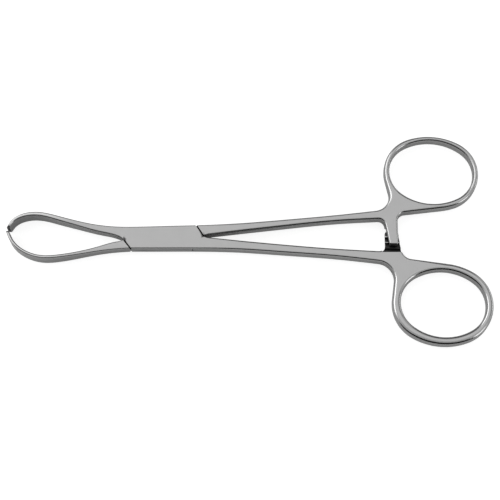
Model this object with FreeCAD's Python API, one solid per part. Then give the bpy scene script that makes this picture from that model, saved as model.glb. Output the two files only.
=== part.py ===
import FreeCAD, Part
import math
import os

os.makedirs("parts", exist_ok=True)

# Towel clamp, two halves crossing in a box lock, all sizes in millimetres.
# The origin is on the pivot axis at the back face, +X runs to the finger rings,
# +Y to the ring of the male half and +Z out of the front face.

# Plate and edge sizes
thickness = 3.8  # front face to back face at the box, shanks and rings
edge_bevel = 0.35  # bevelled edges of the jaws, box, shanks, webs and rings
opening_round = 0.6  # rounded edges of the finger openings

# Box lock
box_half_length = 8.7  # pivot to where a seam meets the long edge of the box
box_crotch = 10.9  # pivot to the crotch between jaws or shanks, along X
crotch_offset = 0.3  # how far a crotch lies off the X axis
box_top_left = 3.2  # long edge of the box above the pivot, at the jaw end
box_top_right = 3.62  # the same edge at the shank end
box_bottom = -3.05  # long edge of the box below the pivot
slot_half_length = 8.1  # pivot to where the slot wall meets the long edge
plate_wall = 1.05  # front and back plate of the box over the tongue
slide_gap = 0.05  # running clearance of the tongue in the slot, each side
seam_gap = 0.4  # gap between a box plate and the shoulder of the tongue
wall_gap = 0.2  # gap between the tongue and the end wall of the slot

# Pivot pin
pin_diameter = 3.0
pin_head_diameter = 3.8  # peened ends in their countersinks
pin_head_depth = 0.4
pin_gap = 0.05  # running clearance round the pin in the tongue, radial

# Jaws, as stations of a bent bar: share of the way from the crotch to the tip,
# Y of its middle and its width in plan
jaw_length = 42.7  # pivot to the tips of the jaws, along X
upper_jaw = [
    (0.066, 1.97, 2.6),
    (0.192, 2.6, 2.06),
    (0.381, 3.91, 1.55),
    (0.57, 5.5, 1.34),
    (0.743, 6.68, 1.2),
    (0.869, 6.27, 1.1),
    (0.957, 4.68, 0.95),
    (0.997, 2.7, 0.8),
]
lower_jaw = [
    (0.066, -2.2, 2.25),
    (0.192, -3.0, 1.65),
    (0.381, -4.36, 1.12),
    (0.554, -5.32, 1.0),
    (0.711, -5.5, 0.97),
    (0.837, -4.3, 0.94),
    (0.953, -1.33, 0.9),
    (1.004, 1.93, 0.8),
]
jaw_width = 5.3  # broad edge of the jaws, front to back, at the bow
flare_start = 0.066  # share of the jaw where it begins to broaden
flare_end = 0.76  # share of the jaw where it is at its full width
tip_corner = 1.5  # rounded corners of the tips, front and back
groove_depth = 0.15  # fine cross serration of the tip faces
groove_pitch = 0.45

# Shanks, as stations of a bar: share of the way from the crotch to the ratchet
# arms, Y of its middle and its width in plan
arm_reach = 60.85  # pivot to the near side of the ratchet arms, along X
male_shank = [
    (0.162, 2.91, 2.52),
    (0.462, 4.38, 2.06),
    (0.763, 5.83, 2.02),
    (0.903, 6.42, 2.42),
]
female_shank = [
    (0.162, -1.91, 2.85),
    (0.462, -3.12, 2.45),
    (0.763, -4.31, 2.46),
    (0.903, -4.91, 2.85),
]

# Finger rings: oval openings with a band round them
ring_spread = 37.5  # centre to centre of the openings, along Y
ring_middle = 0.3  # Y halfway between the openings
opening_half_length = 11.6
opening_fullness = 0.89  # end radius of an opening as a share of its half width
ring_fullness = 0.94  # the same for the outside of the band
ring_tilt = -5.0  # degrees, from +X to the long axis of the oval
male_ring_reach = 13.14  # near side of the arms to the centre of the opening, along X
male_opening_half_width = 9.1
male_band = 1.48  # width of the band in plan
male_band_shift = (-0.06, -0.11)  # centre of the band's outside from the opening's
female_ring_reach = 15.4
female_opening_half_width = 9.3
female_band = 2.16
female_band_shift = (-0.2, -0.12)

# Ratchet
female_arm_width = 3.6  # width in plan of the arm of the female half at its end
female_arm_lean = 0.9  # how far its far side leans in at its end
female_arm_end = 2.2  # Y of the end of the female arm
female_arm_step = -4.1  # Y where the female arm drops to half the thickness
male_arm_width = 3.5
male_arm_lean = 1.15  # how far its near side leans in at its end
male_arm_end = -1.8
male_arm_step = 3.5
inner_corner = 1.8  # rounded corner between a shank and its ratchet arm
arm_corner = 0.5  # rounded corners at the end of an arm, in plan
rack_gap = 0.1  # between the two racks, front to back
tooth_pitch = 1.6
tooth_depth = 0.6
tooth_lean = 0.9  # share of the pitch taken by the sloping side of a tooth
tooth_count = 3

# Webs that join a ring to its shank and its ratchet arm
male_neck_corner = 4.2  # rounded corner between the ring and the outside of its shank
male_web_corner = 2.2  # rounded corner between the ring and the far side of its arm
female_neck_corner = 4.8
female_web_corner = 3.0
male_neck_angle = 198.0  # way the ring faces where the neck leaves it, in degrees
male_web_angle = -78.5  # way the ring faces where the web leaves it
female_neck_angle = -182.5
female_web_angle = 87.5

# Derived sizes
middle = thickness / 2
slot_low = plate_wall
slot_high = thickness - plate_wall
flare_rise = (jaw_width - thickness) / 2
male_ring_x = arm_reach + male_ring_reach
male_ring_y = ring_middle + ring_spread / 2
female_ring_x = arm_reach + female_ring_reach
female_ring_y = ring_middle - ring_spread / 2
female_arm_right = arm_reach + female_arm_width
male_arm_right = arm_reach + male_arm_width
margin = 1.0  # how far a cut reaches past the surface it opens
beyond = 50.0  # how far a cut reaches along an open side


def point(x, y, z=0.0):
    return FreeCAD.Vector(x, y, z)


def line(start, end):
    return Part.LineSegment(start, end).toShape()


def way(start, end):
    direction = end - start
    return direction.normalize()


def left_of(direction):
    return point(-direction.y, direction.x)


def polar(degrees):
    return point(math.cos(math.radians(degrees)), math.sin(math.radians(degrees)))


# A smooth curve through points
def through(points):
    spline = Part.BSplineCurve()
    spline.interpolate(points)
    return spline


# The way a curve arrives at its last point
def arrival(spline):
    return spline.tangent(spline.LastParameter)[0]


# A rounded corner: two straight runs from start to end joined by a tangent arc
def rounded(start, corner, end, radius):
    first = way(corner, start)
    second = way(corner, end)
    half_angle = first.getAngle(second) / 2
    reach = radius / math.tan(half_angle)
    bisector = (first + second).normalize()
    centre = corner + bisector * (radius / math.sin(half_angle))
    arc_start = corner + first * reach
    arc_end = corner + second * reach
    arc_middle = centre - bisector * radius
    arc = Part.Arc(arc_start, arc_middle, arc_end).toShape()
    return [line(start, arc_start), arc, line(arc_end, end)]


# Where two lines cross, each given by two points
def crossing(first, second, third, fourth):
    along = second - first
    other = fourth - third
    across = left_of(other)
    return first + along * ((third - first).dot(across) / along.dot(across))


# X of a share of the way from the crotch to the tips, or to the ratchet arms
def jaw_x(share):
    return -box_crotch - share * (jaw_length - box_crotch)


def shank_x(share):
    return box_crotch + share * (arm_reach - box_crotch)


# The two sides of a bar from its stations, left and right of the way it runs,
# with its last station square to end_way where one is given
def bar_sides(stations, place_x, end_way=None):
    places = [point(place_x(share), y) for share, y, width in stations]
    middle_line = through(places)
    ways = [middle_line.tangent(middle_line.parameter(place))[0] for place in places]
    ways[-1] = end_way or ways[-1]
    left = []
    right = []
    for place, direction, (share, y, width) in zip(places, ways, stations):
        left.append(place + left_of(direction) * (width / 2))
        right.append(place - left_of(direction) * (width / 2))
    return left, right


class Oval:
    """Tilted oval of four tangent arcs, whose points are told by the way they face."""

    def __init__(self, x, y, half_length, half_width, fullness):
        self.centre = point(x, y)
        self.end_radius = half_width * fullness
        self.end_offset = half_length - self.end_radius
        slack = half_width - self.end_radius
        rest = self.end_offset**2 + half_width**2 - self.end_radius**2
        self.side_radius = rest / (2 * slack)
        self.side_offset = self.side_radius - half_width
        self.joint = math.degrees(math.atan2(self.side_offset, self.end_offset))

    def facing(self, degrees):
        return polar(degrees + ring_tilt)

    def heading(self, degrees):
        return left_of(self.facing(degrees))

    def at(self, degrees):
        local = polar(degrees)
        if abs(local.y) < math.sin(math.radians(self.joint)):
            offset = polar(ring_tilt) * math.copysign(self.end_offset, local.x)
            radius = self.end_radius
        else:
            offset = left_of(polar(ring_tilt)) * -math.copysign(self.side_offset, local.y)
            radius = self.side_radius
        return self.centre + offset + self.facing(degrees) * radius

    def arcs(self, start, end):
        joints = []
        for turn in (-360, -180, 0, 180, 360):
            joints += [turn - self.joint, turn + self.joint]
        stops = [start] + [joint for joint in joints if start < joint < end] + [end]
        pairs = zip(stops, stops[1:])
        return [Part.Arc(self.at(a), self.at((a + b) / 2), self.at(b)).toShape() for a, b in pairs]

    def disc(self):
        rim = self.arcs(self.joint, self.joint + 360)
        return Part.Face(Part.Wire(rim)).extrude(point(0, 0, thickness))


# Corners of the box lock in plan
top_left = point(-box_half_length, box_top_left)
top_right = point(box_half_length, box_top_right)
bottom_left = point(-box_half_length, box_bottom)
bottom_right = point(box_half_length, box_bottom)
left_crotch = point(-box_crotch, -crotch_offset)
right_crotch = point(box_crotch, crotch_offset)
slot_top = crossing(
    top_left, top_right, point(-slot_half_length, 0), point(-slot_half_length, 1)
)
slot_bottom = point(slot_half_length, box_bottom)
left_wall_way = way(left_crotch, slot_top)
right_wall_way = way(slot_bottom, right_crotch)
left_seam_way = way(bottom_left, left_crotch)
right_seam_way = way(top_right, right_crotch)

# Corners of the tongue, clear of the walls of the slot and the seams
left_wall_shift = left_of(left_wall_way) * -wall_gap
right_wall_shift = left_of(right_wall_way) * wall_gap
left_seam_shift = left_of(left_seam_way) * seam_gap
right_seam_shift = left_of(right_seam_way) * seam_gap
tongue_left = crossing(
    left_crotch + left_wall_shift,
    slot_top + left_wall_shift,
    bottom_left + left_seam_shift,
    left_crotch + left_seam_shift,
)
tongue_right = crossing(
    slot_bottom + right_wall_shift,
    right_crotch + right_wall_shift,
    top_right + right_seam_shift,
    right_crotch + right_seam_shift,
)
tongue_top = crossing(
    left_crotch + left_wall_shift, slot_top + left_wall_shift, top_left, top_right
)
tongue_bottom = crossing(
    slot_bottom + right_wall_shift, right_crotch + right_wall_shift, bottom_left, bottom_right
)


# A plate with the given closed outline, its edges in order
def plate(edges, low, high):
    face = Part.Face(Part.Wire(edges))
    face.translate(point(0, 0, low))
    return face.extrude(point(0, 0, high - low))


def block(corners, low, high):
    closed = corners + corners[:1]
    return plate([line(start, end) for start, end in zip(closed, closed[1:])], low, high)


# The strip of plan between two lines, each given by a place and a direction
def strip(first, first_way, second, second_way, low, high):
    corners = [
        first - first_way * beyond,
        first + first_way * beyond,
        second + second_way * beyond,
        second - second_way * beyond,
    ]
    return block(corners, low, high)


# One side of the space that holds the broad jaws, in the plane of X and Z
def flare_side(face, rise):
    flat_end = point(jaw_x(flare_start), -beyond, face)
    broad_start = point(jaw_x(flare_end), -beyond, face + rise)
    stretch = point((flat_end.x - broad_start.x) / 2, 0)
    bend = Part.BezierCurve()
    bend.setPoles([flat_end, flat_end - stretch, broad_start + stretch, broad_start])
    return [bend.toShape(), line(broad_start, broad_start - point(jaw_length, 0))]


# The space between two curved faces that part towards the tips of the jaws
def jaw_space():
    back_bend, back_side = flare_side(0.0, -flare_rise)
    front_bend, front_side = flare_side(thickness, flare_rise)
    tip_end = line(back_side.Vertexes[-1].Point, front_side.Vertexes[-1].Point)
    flat_end = line(front_bend.Vertexes[0].Point, back_bend.Vertexes[0].Point)
    outline = Part.Wire([back_bend, back_side, tip_end, front_side, front_bend, flat_end])
    return Part.Face(outline).extrude(point(0, 2 * beyond, 0))


# The edges of a handle in plan: inner edge of the shank, ratchet arm, ring and
# outer edge of the shank, which runs on along the box
def handle_edges(
    inner, outer, arm_near, near_way, arm_far, far_way, ring, web_turn, neck_turn, corners
):
    inner_curve = through(inner)
    inner_end = inner[-1]
    foot = crossing(inner_end, inner_end + arrival(inner_curve), arm_near, arm_near + near_way)
    near_middle = (foot + arm_near) / 2
    end_middle = (arm_near + arm_far) / 2
    web_start = ring.at(web_turn)
    web = crossing(arm_far, arm_far + far_way, web_start, web_start + ring.heading(web_turn))
    far_middle = (arm_far + web) / 2
    outer_curve = through(outer)
    outer_end = outer[-1]
    neck_start = ring.at(neck_turn)
    neck_way = ring.heading(neck_turn)
    neck = crossing(outer_end, outer_end + arrival(outer_curve), neck_start, neck_start + neck_way)
    edges = [inner_curve.toShape()]
    edges += rounded(inner_end, foot, near_middle, inner_corner)
    edges += rounded(near_middle, arm_near, end_middle, arm_corner)
    edges += rounded(end_middle, arm_far, far_middle, arm_corner)
    edges += rounded(far_middle, web, web_start, corners[0])
    band = ring.arcs(min(web_turn, neck_turn), max(web_turn, neck_turn))
    edges += band if web_turn < neck_turn else band[::-1]
    edges += rounded(neck_start, neck, outer_end, corners[1])
    edges.append(outer_curve.toShape())
    return edges


# Whether an edge stands upright, parallel to the pivot axis
def upright(edge):
    box = edge.BoundBox
    return box.XLength < 0.01 and box.YLength < 0.01


# Whether an edge crosses a jaw where its broad part starts or ends
def across_jaw(edge):
    box = edge.BoundBox
    ends = [jaw_x(flare_start), jaw_x(flare_end)]
    return box.XLength < 0.01 and min(abs(box.XMin - end) for end in ends) < 0.01


# Whether an edge lies over the line between two places of the plan
def over(edge, first, second):
    across = left_of(way(first, second))
    return all(abs((vertex.Point - first).dot(across)) < 0.01 for vertex in edge.Vertexes)


# Whether an edge is part of the rim of the finger opening, front or back
def on_rim(edge, opening_box):
    return opening_box.isInside(edge.BoundBox) and not upright(edge)


# Front and back edges bevelled, apart from those over the sharp lines, and the
# rims of the finger opening rounded
def softened(body, opening, sharp_lines):
    opening_box = opening.disc().BoundBox
    opening_box.enlarge(0.01)
    bevels = []
    for edge in body.Edges:
        sharp = any(over(edge, first, second) for first, second in sharp_lines)
        if not (sharp or on_rim(edge, opening_box) or upright(edge) or across_jaw(edge)):
            bevels.append(edge)
    bevelled = body.makeChamfer(edge_bevel, bevels)
    rims = [edge for edge in bevelled.Edges if on_rim(edge, opening_box)]
    return bevelled.makeFillet(opening_round, rims)


# Full body of a half before its box lock and ratchet are cut
def blank(outline, opening, sharp_lines):
    flat = plate(outline, 0, thickness)
    broad = plate(outline, -flare_rise - margin, thickness + flare_rise + margin)
    body = flat.fuse(broad.common(jaw_space())).removeSplitter().cut(opening.disc())
    return softened(body.Solids[0], opening, sharp_lines)


# A turned shape about the pivot axis from its radius and height at each corner
def turned(corners):
    profile = [point(radius, 0, height) for radius, height in corners]
    wire = Part.makePolygon(profile + profile[:1])
    return Part.Face(wire).revolve(point(0, 0), point(0, 0, 1), 360)


# The pivot pin: a shank with its two ends peened into countersinks
def pin_shape():
    radius = pin_diameter / 2
    head = pin_head_diameter / 2
    return turned([
        (0, 0),
        (head, 0),
        (radius, pin_head_depth),
        (radius, thickness - pin_head_depth),
        (head, thickness),
        (0, thickness),
    ])


# Grooves of a rack on the circle of the ratchet about the pivot: each has one
# steep side and one sloping side, so that the racks hold one way
def rack_grooves(first_y, face, floor, lean):
    mean_radius = (arm_reach + female_arm_right) / 2
    pitch_angle = math.degrees(tooth_pitch / mean_radius)
    start_angle = math.degrees(first_y / mean_radius)
    past = face + (face - floor) / 4
    widening = tooth_pitch * lean * (past - floor) / (face - floor)
    near = arm_reach - margin
    section = Part.makePolygon([
        point(near, 0, past),
        point(near, 0, floor),
        point(near, -widening, past),
        point(near, 0, past),
    ])
    width = female_arm_width + female_arm_lean + 2 * margin
    groove = Part.Face(section).extrude(point(width, 0, 0))
    grooves = []
    for index in range(tooth_count):
        turned_groove = groove.copy()
        turned_groove.rotate(point(0, 0), point(0, 0, 1), start_angle + index * pitch_angle)
        grooves.append(turned_groove)
    return grooves


# Fine grooves across the face of a jaw tip, from its front edge to its back
def tip_grooves(side, other_side):
    middle_point = (side + other_side) / 2
    along = way(side, other_side)
    out = left_of(along)
    grooves = []
    for index in (-0.5, 0.5):
        centre = middle_point + along * (index * groove_pitch)
        corners = [
            centre + out * groove_depth,
            centre + along * (groove_pitch / 2),
            centre - out * groove_depth,
            centre - along * (groove_pitch / 2),
        ]
        grooves.append(block(corners, -beyond, beyond))
    return grooves


# What rounds the front and back corner of a jaw tip, which looks along tip_way
def tip_corners(tip, tip_way):
    cuts = []
    for face, out in ((-flare_rise, -1), (thickness + flare_rise, 1)):
        centre = tip - tip_way * tip_corner + point(0, 0, face - out * tip_corner)
        side = point(-box_crotch / 2, 0)
        past = tip_corner + margin
        outline = [
            centre + side,
            centre + side + tip_way * past,
            centre + side + tip_way * past + point(0, 0, out * past),
            centre + side + point(0, 0, out * past),
        ]
        corner = Part.Face(Part.makePolygon(outline + outline[:1])).extrude(side * -2)
        roller = Part.makeCylinder(tip_corner, box_crotch, centre + side, point(1, 0))
        cuts.append(corner.cut(roller))
    return cuts


female_ring = Oval(
    female_ring_x + female_band_shift[0],
    female_ring_y + female_band_shift[1],
    opening_half_length + female_band,
    female_opening_half_width + female_band,
    ring_fullness,
)
female_opening = Oval(
    female_ring_x, female_ring_y, opening_half_length, female_opening_half_width, opening_fullness
)
male_ring = Oval(
    male_ring_x + male_band_shift[0],
    male_ring_y + male_band_shift[1],
    opening_half_length + male_band,
    male_opening_half_width + male_band,
    ring_fullness,
)
male_opening = Oval(
    male_ring_x, male_ring_y, opening_half_length, male_opening_half_width, opening_fullness
)


def female_half():
    jaw_inner, jaw_outer = bar_sides(upper_jaw, jaw_x, point(0, -1))
    shank_inner, shank_outer = bar_sides(female_shank, shank_x)
    top_middle = (top_left + top_right) / 2
    outline = [through(jaw_outer[::-1] + [top_left, top_middle, top_right]).toShape()]
    outline.append(line(top_right, right_crotch))
    outline += handle_edges(
        inner=[right_crotch] + shank_inner,
        outer=[bottom_left, (bottom_left + bottom_right) / 2, bottom_right] + shank_outer,
        arm_near=point(arm_reach, female_arm_end),
        near_way=point(0, 1),
        arm_far=point(female_arm_right, female_arm_end),
        far_way=point(-female_arm_lean, female_arm_end - female_arm_step),
        ring=female_ring,
        web_turn=female_web_angle,
        neck_turn=female_neck_angle,
        corners=(female_web_corner, female_neck_corner),
    )
    outline.append(line(bottom_left, left_crotch))
    outline.append(through([left_crotch] + jaw_inner).toShape())
    outline.append(line(jaw_inner[-1], jaw_outer[-1]))
    sharp_lines = [
        (top_right, right_crotch),
        (bottom_left, left_crotch),
        (jaw_inner[-1], jaw_outer[-1]),
    ]
    body = blank(outline, female_opening, sharp_lines)
    slot = strip(slot_bottom, right_wall_way, left_crotch, left_wall_way, slot_low, slot_high)
    rack_face = middle - rack_gap / 2
    arm_right = female_arm_right + female_arm_lean + margin
    front_of_arm = block(
        [
            point(arm_reach - margin, female_arm_step),
            point(arm_right, female_arm_step),
            point(arm_right, female_arm_end + margin),
            point(arm_reach - margin, female_arm_end + margin),
        ],
        rack_face,
        thickness + margin,
    )
    cuts = [slot, front_of_arm, pin_shape()]
    cuts += rack_grooves(
        female_arm_step + tooth_pitch, rack_face, rack_face - tooth_depth, tooth_lean
    )
    cuts += tip_grooves(jaw_inner[-1], jaw_outer[-1])
    cuts += tip_corners((jaw_inner[-1] + jaw_outer[-1]) / 2, point(0, -1))
    return body.cut(cuts)


def male_half():
    jaw_outer, jaw_inner = bar_sides(lower_jaw, jaw_x, point(0, 1))
    shank_outer, shank_inner = bar_sides(male_shank, shank_x)
    bottom_middle = (bottom_left + bottom_right) / 2
    outline = [through(jaw_outer[::-1] + [bottom_left, bottom_middle, tongue_bottom]).toShape()]
    outline.append(line(tongue_bottom, tongue_right))
    outline += handle_edges(
        inner=[tongue_right] + shank_inner,
        outer=[tongue_top, (top_left + top_right) / 2, top_right] + shank_outer,
        arm_near=point(arm_reach + male_arm_lean, male_arm_end),
        near_way=point(-male_arm_lean, male_arm_step - male_arm_end),
        arm_far=point(male_arm_right, male_arm_end),
        far_way=point(0, 1),
        ring=male_ring,
        web_turn=male_web_angle,
        neck_turn=male_neck_angle,
        corners=(male_web_corner, male_neck_corner),
    )
    outline.append(line(tongue_top, tongue_left))
    outline.append(through([tongue_left] + jaw_inner).toShape())
    outline.append(line(jaw_inner[-1], jaw_outer[-1]))
    sharp_lines = [
        (tongue_bottom, tongue_right),
        (tongue_top, tongue_left),
        (jaw_inner[-1], jaw_outer[-1]),
    ]
    body = blank(outline, male_opening, sharp_lines)
    tongue_low = slot_low + slide_gap
    tongue_high = slot_high - slide_gap
    seam_low = bottom_left + left_seam_shift
    seam_high = top_right + right_seam_shift
    cuts = [
        strip(seam_low, left_seam_way, seam_high, right_seam_way * -1, low, high)
        for low, high in ((-margin, tongue_low), (tongue_high, thickness + margin))
    ]
    rack_face = middle + rack_gap / 2
    back_of_arm = block(
        [
            point(arm_reach - margin, male_arm_end - margin),
            point(male_arm_right + margin, male_arm_end - margin),
            point(male_arm_right + margin, male_arm_step),
            point(arm_reach - margin, male_arm_step),
        ],
        -margin,
        rack_face,
    )
    bore_radius = pin_diameter / 2 + pin_gap
    bore = turned([(0, 0), (bore_radius, 0), (bore_radius, thickness), (0, thickness)])
    cuts += [back_of_arm, bore]
    cuts += rack_grooves(
        male_arm_end + tooth_pitch / 2, rack_face, rack_face + tooth_depth, -tooth_lean
    )
    cuts += tip_grooves(jaw_inner[-1], jaw_outer[-1])
    cuts += tip_corners((jaw_inner[-1] + jaw_outer[-1]) / 2, point(0, 1))
    return body.cut(cuts)


for name, shape in (
    ("female_half", female_half()),
    ("male_half", male_half()),
    ("pivot_pin", pin_shape()),
):
    solids = shape.Solids
    print(name, len(solids), "solid", shape.isValid(), round(shape.Volume, 2), "mm3")
    solids[0].exportStep("parts/" + name + ".step")
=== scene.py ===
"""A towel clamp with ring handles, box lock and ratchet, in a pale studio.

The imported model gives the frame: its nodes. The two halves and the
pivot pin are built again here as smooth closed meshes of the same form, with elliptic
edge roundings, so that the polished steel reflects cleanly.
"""

import logging
import math
from dataclasses import dataclass, field
from enum import Enum, IntEnum, auto
from typing import ClassVar

import bpy
import numpy as np
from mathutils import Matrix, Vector
from mathutils.geometry import delaunay_2d_cdt

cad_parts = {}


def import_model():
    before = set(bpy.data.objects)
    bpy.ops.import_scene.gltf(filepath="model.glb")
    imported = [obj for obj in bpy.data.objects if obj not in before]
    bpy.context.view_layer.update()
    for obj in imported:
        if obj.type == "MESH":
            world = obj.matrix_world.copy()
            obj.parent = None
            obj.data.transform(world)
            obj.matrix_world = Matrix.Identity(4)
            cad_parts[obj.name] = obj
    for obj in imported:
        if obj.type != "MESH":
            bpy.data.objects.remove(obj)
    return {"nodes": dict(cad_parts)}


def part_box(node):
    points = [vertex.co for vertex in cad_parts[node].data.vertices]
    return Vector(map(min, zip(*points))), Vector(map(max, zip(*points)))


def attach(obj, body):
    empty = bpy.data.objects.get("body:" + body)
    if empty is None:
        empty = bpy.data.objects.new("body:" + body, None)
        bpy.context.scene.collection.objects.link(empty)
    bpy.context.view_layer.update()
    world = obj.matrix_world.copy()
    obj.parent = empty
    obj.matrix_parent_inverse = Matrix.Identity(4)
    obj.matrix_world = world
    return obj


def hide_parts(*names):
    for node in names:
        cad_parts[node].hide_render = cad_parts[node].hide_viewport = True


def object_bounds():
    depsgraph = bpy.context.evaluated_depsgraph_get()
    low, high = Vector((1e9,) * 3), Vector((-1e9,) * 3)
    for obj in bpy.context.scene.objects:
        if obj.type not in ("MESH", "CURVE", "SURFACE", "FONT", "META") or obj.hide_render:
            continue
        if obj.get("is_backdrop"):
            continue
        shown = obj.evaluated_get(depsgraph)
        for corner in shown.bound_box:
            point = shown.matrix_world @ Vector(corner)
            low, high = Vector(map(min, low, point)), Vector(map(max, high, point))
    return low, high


LOG = logging.getLogger("towel_clamp")
MM = 0.001

# Lengths in millimetres: how far a cut runs past the steel, half the length of a cut that
# runs right through the box, and the depth of a cut that only changes a face's finish.
PAST = 1.0
FAR = 50.0
SKIM = 0.01


# Shader maths


def grey(value: float) -> tuple[float, float, float, float]:
    """Return a grey colour."""
    return value, value, value, 1.0


class Wire:
    """An output socket that takes part in Python arithmetic by adding Math nodes."""

    def __init__(self, shader: "Shader", socket: bpy.types.NodeSocket) -> None:
        """Keep the shader that owns the socket, and the socket itself."""
        self.shader = shader
        self.socket = socket

    def _maths(self, operation: str, *values: "Wire | float") -> "Wire":
        """Return the output of a Math node fed with the values."""
        sockets = dict(enumerate(values))
        return self.shader.node("ShaderNodeMath", {"operation": operation}, sockets)

    def __add__(self, other: "Wire | float") -> "Wire":
        """Return self + other."""
        return self._maths("ADD", self, other)

    __radd__ = __add__

    def __mul__(self, other: "Wire | float") -> "Wire":
        """Return self * other."""
        return self._maths("MULTIPLY", self, other)

    __rmul__ = __mul__

    def __sub__(self, other: "Wire | float") -> "Wire":
        """Return self - other."""
        return self._maths("SUBTRACT", self, other)

    def __rsub__(self, other: float) -> "Wire":
        """Return other - self."""
        return self._maths("SUBTRACT", other, self)


class Shader:
    """The node tree of a material or a world, with one method that makes any node."""

    def __init__(self, owner: bpy.types.Material | bpy.types.World) -> None:
        """Start an empty tree.

        Args:
            owner: The material or world that the tree is in.
        """
        self.owner = owner
        owner.use_nodes = True
        self.tree = owner.node_tree
        self.tree.nodes.clear()

    def node(
        self,
        kind: str,
        settings: dict[str, object] | None = None,
        sockets: dict[str | int, object] | None = None,
        output: str | int = 0,
    ) -> Wire:
        """Add a node and return one of its outputs.

        Args:
            kind: The node's type.
            settings: Properties of the node, which are set first.
            sockets: Values, or wires to link, by the input's name or number.
            output: Name or number of the output to return.

        Returns:
            The chosen output as a wire.
        """
        node = self.tree.nodes.new(kind)
        for name, value in (settings or {}).items():
            setattr(node, name, value)
        for name, value in (sockets or {}).items():
            if isinstance(value, Wire):
                self.tree.links.new(value.socket, node.inputs[name])
            else:
                node.inputs[name].default_value = value
        return Wire(self, node.outputs[output])

    def place(self, scale: tuple[float, float, float]) -> Wire:
        """Return the place on the piece, in object coordinates times scale."""
        coordinates = self.node("ShaderNodeTexCoord", output="Object")
        return self.node(
            "ShaderNodeMapping", sockets={"Vector": coordinates, "Scale": scale}, output="Vector"
        )

    def noise(self, scale: tuple[float, float, float], detail: float = 3.0) -> Wire:
        """Return a noise from 0 to 1 whose grains are 1 / scale long each way, in metres."""
        sockets = {"Vector": self.place(scale), "Scale": 1.0, "Detail": detail, "Roughness": 0.6}
        return self.node("ShaderNodeTexNoise", sockets=sockets, output="Fac")

    # The share that places the painted highlight at the bow of the jaws
    def bow_highlight_share(self, start: float = -24.0 * MM, end: float = -34.0 * MM) -> Wire:
        """Return 0 at the box and 1 at the bow of the jaws, with a smooth step between.

        Args:
            start: X where the share starts to grow, in metres.
            end: X from which the share is 1, in metres.

        Returns:
            The share as a wire.
        """
        coordinates = self.node("ShaderNodeTexCoord", output="Object")
        x = self.node("ShaderNodeSeparateXYZ", sockets={"Vector": coordinates}, output="X")
        sockets = {"Value": x, "From Min": end, "From Max": start}
        return 1 - self.node("ShaderNodeMapRange", {"interpolation_type": "SMOOTHSTEP"}, sockets)

    def colour_between(self, low: tuple[float, ...], high: tuple[float, ...], share: Wire) -> Wire:
        """Return a colour mixed from low to high by share."""
        sockets = {"Factor": share, 6: low, 7: high}
        return self.node("ShaderNodeMix", {"data_type": "RGBA"}, sockets, output=2)

    def surface(self, wire: Wire) -> bpy.types.Material | bpy.types.World:
        """End the tree in a surface or background.

        Args:
            wire: The finished shader.

        Returns:
            The material or world that the tree is in.
        """
        kind = "World" if isinstance(self.owner, bpy.types.World) else "Material"
        output = self.tree.nodes.new("ShaderNodeOutput" + kind)
        self.tree.links.new(wire.socket, output.inputs["Surface"])
        return self.owner


# Finishes, with painted shade and a painted highlight


@dataclass(frozen=True)
class BrushedSteel:
    """Stainless steel with fine streaks along the instrument.

    The streaks are stretched noise: they shade the colour a little and change the
    roughness and the height of the surface. The bow of the jaws may get a painted
    highlight: a lighter colour for the light that a domed face there would catch. The
    darkest tones are painted shade, for gaps and teeth where little light falls.
    """

    name: str
    dark: float
    light: float
    roughness: float
    roughness_swing: float
    relief: float
    streak_length: float = 1.6 * MM
    streak_width: float = 0.11 * MM
    cloud_size: float = 4.0 * MM
    cloud_share: float = 0.4
    streak_height: float = 0.004 * MM
    # Colour of the painted highlight at the bow: lighter, for the light that a domed face there would
    # catch
    bow_painted_highlight: float | None = None

    def material(self) -> bpy.types.Material:
        """Make the finish.

        Returns:
            The finish as a material.
        """
        shader = Shader(bpy.data.materials.new(self.name))
        along, across = 1 / self.streak_length, 1 / self.streak_width
        streaks = shader.noise((along, across, across))
        clouds = shader.noise((1 / self.cloud_size,) * 3, detail=2.0)
        tone = streaks * (1 - self.cloud_share) + clouds * self.cloud_share
        # The colour range reaches up to the painted highlight at the bow, where there is one
        lightest_with_highlight = self.bow_painted_highlight or self.light
        grain = (self.light - self.dark) / (lightest_with_highlight - self.dark)
        if grain < 1:
            tone = tone * grain + shader.bow_highlight_share() * (1 - grain)
        relief = {"Strength": self.relief, "Distance": self.streak_height, "Height": streaks}
        sockets = {
            "Base Color": shader.colour_between(grey(self.dark), grey(lightest_with_highlight), tone),
            "Metallic": 1.0,
            "Roughness": (streaks - 0.5) * self.roughness_swing + self.roughness,
            "Normal": shader.node("ShaderNodeBump", sockets=relief),
        }
        return shader.surface(shader.node("ShaderNodeBsdfPrincipled", sockets=sockets))


# The satin faces carry a painted highlight at the bow of the jaws
SATIN_FACE = BrushedSteel("satin_face", 0.45, 0.53, 0.34, 0.10, 0.35, bow_painted_highlight=0.74)
POLISHED_EDGE = BrushedSteel("polished_edge", 0.45, 0.52, 0.2, 0.06, 0.15)
# Near-black walls of the seams, slot, pockets, pin hole and jaw tips: painted shade for the gaps
PAINTED_SHADE_WALL = BrushedSteel("painted_shade_wall", 0.02, 0.035, 0.5, 0.10, 0.5)
LOCK_FACE = BrushedSteel("lock_face", 0.26, 0.34, 0.38, 0.10, 0.5)
# Dark ratchet faces and teeth, and the female tip grooves: painted shade
RATCHET_PAINTED_SHADE = BrushedSteel("ratchet_painted_shade", 0.03, 0.09, 0.42, 0.2, 0.6, 0.25 * MM, 0.25 * MM)


class Skin(IntEnum):
    """Which finish a face of a steel piece has, as its material slot."""

    FACE = 0
    EDGE = 1
    # Walls in gaps and across the jaw tips; their near-black colour is painted shade
    WALL = 2
    # Ratchet faces and teeth, and the female tip grooves; their dark colour is painted shade
    RATCHET = 3
    LOCK = 4


# Plan geometry, in millimetres


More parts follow.
